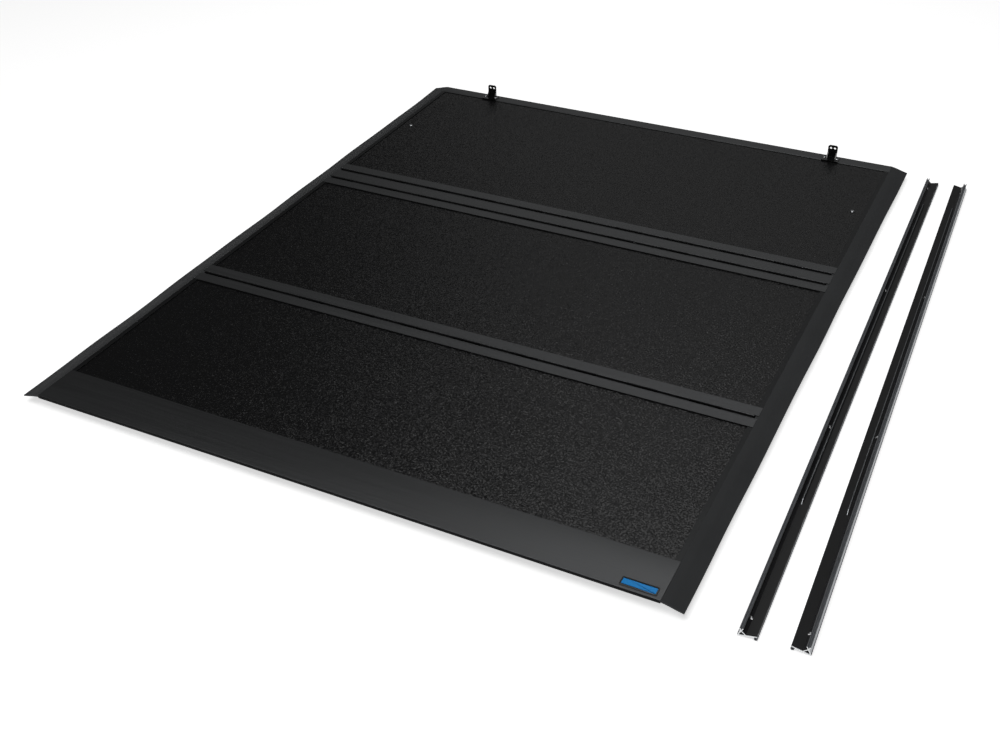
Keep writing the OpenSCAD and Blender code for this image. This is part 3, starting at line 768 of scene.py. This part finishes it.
class BEDCOVER_OT_bed_rails(bpy.types.Operator):
    """Finishes the coated bed rails with their bare cut ends, painted highlights on lips and free edge
    and painted shade on the plate, and their catch strips
    """

    bl_idname = "bed_cover.bed_rails"
    bl_label = "Bed rails"

    def execute(self, context):
        colour = context.scene.bed_cover_colours.rail
        coat = powder_coat("gloss black coating", colour, 0.24, 0.5)
        # The plate is painted darker as shade
        plate = powder_coat("black plate coating with painted shade", shade(colour, 0.25), 0.5, 0.0)
        # The lips and free edge are painted light grey as highlights
        lip = satin_extrusion("grey painted highlight on rail lips", linear("#a6a8ab"), "Y")
        cut = bright_metal("saw-cut aluminium", "#e3e4e5", "#c6c8ca", (0.3, 0.45), (0.8, 0.8, 6))
        strip = bright_metal("mill-finish aluminium", "#9a9c9f", "#7d8083", (0.28, 0.42),
                             (1.5, 60, 1.5))

        def rail_finish_and_painted_light(face):
            """Bare cut ends, a plate painted darker as shade, and lips and free edge painted satin
            grey as highlights
            """
            height = face.calc_center_median().z
            if abs(face.normal.y) > 0.97 and abs(face.normal.z) < 0.05:
                return 1
            if face.normal.z > 0.95 and height < LIP_FOOT:
                return 2
            free_edge = abs(face.normal.x) > 0.9 and PLATE_FOOT < height < LIP_FOOT
            return 3 if free_edge or (height > LIP_FOOT and face.normal.z > 0.1) else 0

        for hand in ("left", "right"):
            rounded("bed_rail_" + hand, 0.00025, "rail", coat, cut, plate, lip, choose=rail_finish_and_painted_light)
            rounded("rail_catch_strip_" + hand, 0.0002, "catch_strip", strip)
        return {"FINISHED"}


# ---- Stage ----


class BEDCOVER_OT_stage(bpy.types.Operator):
    """Sets up the pale floor, the soft lights and the camera"""

    bl_idname = "bed_cover.stage"
    bl_label = "Stage"

    def execute(self, context):
        scene = context.scene
        material, tree, shader = finish("back-lit white floor", Roughness=0.7,
                                        Specular_IOR_Level=0.2, Emission_Strength=0.64,
                                        Emission_Color=linear("#ffffff"))
        where = add(tree, "TexCoord")
        cloud = add(tree, "TexNoise", {"Vector": (where, "Object"), "Scale": 0.6, "Detail": 2.0})
        varied(tree, shader, (cloud, 0), linear("#f4f4f4"), linear("#f7f7f7"))
        bm = bmesh.new()
        bmesh.ops.create_grid(bm, x_segments=1, y_segments=1, size=14.0)
        floor_gap = 0.0006  # keeps the floor from flickering through faces that rest on it
        bmesh.ops.translate(bm, verts=bm.verts[:], vec=(0, 4.0, CAD_BOX[0].z - floor_gap))
        floor = new_piece("floor", bm, material)
        # Each softbox: name, place, point aimed at, size in metres, power in watts
        self.light(scene, "key softbox", (-0.4, -2.3, 5.0), (0.1, -0.2, 0.0), (4.0, 3.0), 124)
        self.light(scene, "overhead softbox", (0.15, 1.5, 4.0), (0.15, 1.5, 0.0), (2.7, 2.9), 39)
        self.light(scene, "back glow", (-1.0, 7.6, 4.0), (-0.8, 0.0, 0.0), (8.0, 3.6), 22)
        world = bpy.data.worlds.new("dim room")
        world.use_nodes = True
        background = world.node_tree.nodes["Background"]
        background.inputs["Color"].default_value = (1.0, 1.0, 1.0, 1.0)
        background.inputs["Strength"].default_value = 0.03
        scene.world = world
        scene.view_settings.view_transform = "Standard"
        self.camera(scene)
        return {"FINISHED"}

    def light(self, scene, name, place, target, size, power):
        """A rectangular softbox aimed at a point"""
        data = bpy.data.lights.new(name, "AREA")
        data.shape = "RECTANGLE"
        data.size, data.size_y = size
        data.energy = power
        lamp = bpy.data.objects.new(name, data)
        lamp.location = place
        lamp.rotation_euler = (Vector(target) - Vector(place)).to_track_quat("-Z", "Y").to_euler()
        scene.collection.objects.link(lamp)

    def camera(self, scene):
        """The viewpoint: above the tail's right corner, with a slight roll"""
        data = bpy.data.cameras.new("camera")
        data.lens = 44.81
        data.sensor_width = 36.0
        camera = bpy.data.objects.new("camera", data)
        place, target = Vector((1.237, -2.492, 1.698)), Vector((0.1685, -0.4004, 0.032))
        aim = (target - place).to_track_quat("-Z", "Y")
        roll = Matrix.Rotation(math.radians(-1.24), 4, "Z")
        camera.matrix_world = Matrix.Translation(place) @ aim.to_matrix().to_4x4() @ roll
        scene.collection.objects.link(camera)
        scene.camera = camera


# ---- Add-on ----


OPERATORS = (
    BEDCOVER_OT_panels,
    BEDCOVER_OT_extrusions,
    BEDCOVER_OT_flaps,
    BEDCOVER_OT_seals,
    BEDCOVER_OT_brackets,
    BEDCOVER_OT_badge,
    BEDCOVER_OT_hold_downs,
    BEDCOVER_OT_latches,
    BEDCOVER_OT_bed_rails,
    BEDCOVER_OT_stage,
)


class BEDCOVER_PT_panel(bpy.types.Panel):
    """Lists the pieces and their settings"""

    bl_label = "Bed cover"
    bl_idname = "BEDCOVER_PT_panel"
    bl_space_type = "VIEW_3D"
    bl_region_type = "UI"
    bl_category = "Bed cover"

    def draw(self, context):
        for group in (context.scene.bed_cover_sizes, context.scene.bed_cover_colours):
            box = self.layout.box()
            for name in group.__annotations__:
                box.prop(group, name)
        for operator in OPERATORS:
            self.layout.operator(operator.bl_idname)


CLASSES = (BedCoverSizes, BedCoverColours, *OPERATORS, BEDCOVER_PT_panel)


def register():
    for cls in CLASSES:
        bpy.utils.register_class(cls)
    bpy.types.Scene.bed_cover_sizes = PointerProperty(type=BedCoverSizes)
    bpy.types.Scene.bed_cover_colours = PointerProperty(type=BedCoverColours)


def unregister():
    del bpy.types.Scene.bed_cover_colours
    del bpy.types.Scene.bed_cover_sizes
    for cls in reversed(CLASSES):
        bpy.utils.unregister_class(cls)


def main():
    register()
    bpy.ops.bed_cover.panels()
    bpy.ops.bed_cover.extrusions()
    bpy.ops.bed_cover.flaps()
    bpy.ops.bed_cover.seals()
    bpy.ops.bed_cover.brackets()
    bpy.ops.bed_cover.badge()
    bpy.ops.bed_cover.hold_downs()
    bpy.ops.bed_cover.latches()
    bpy.ops.bed_cover.bed_rails()
    bpy.ops.bed_cover.stage()


if __name__ == "__main__":
    main()
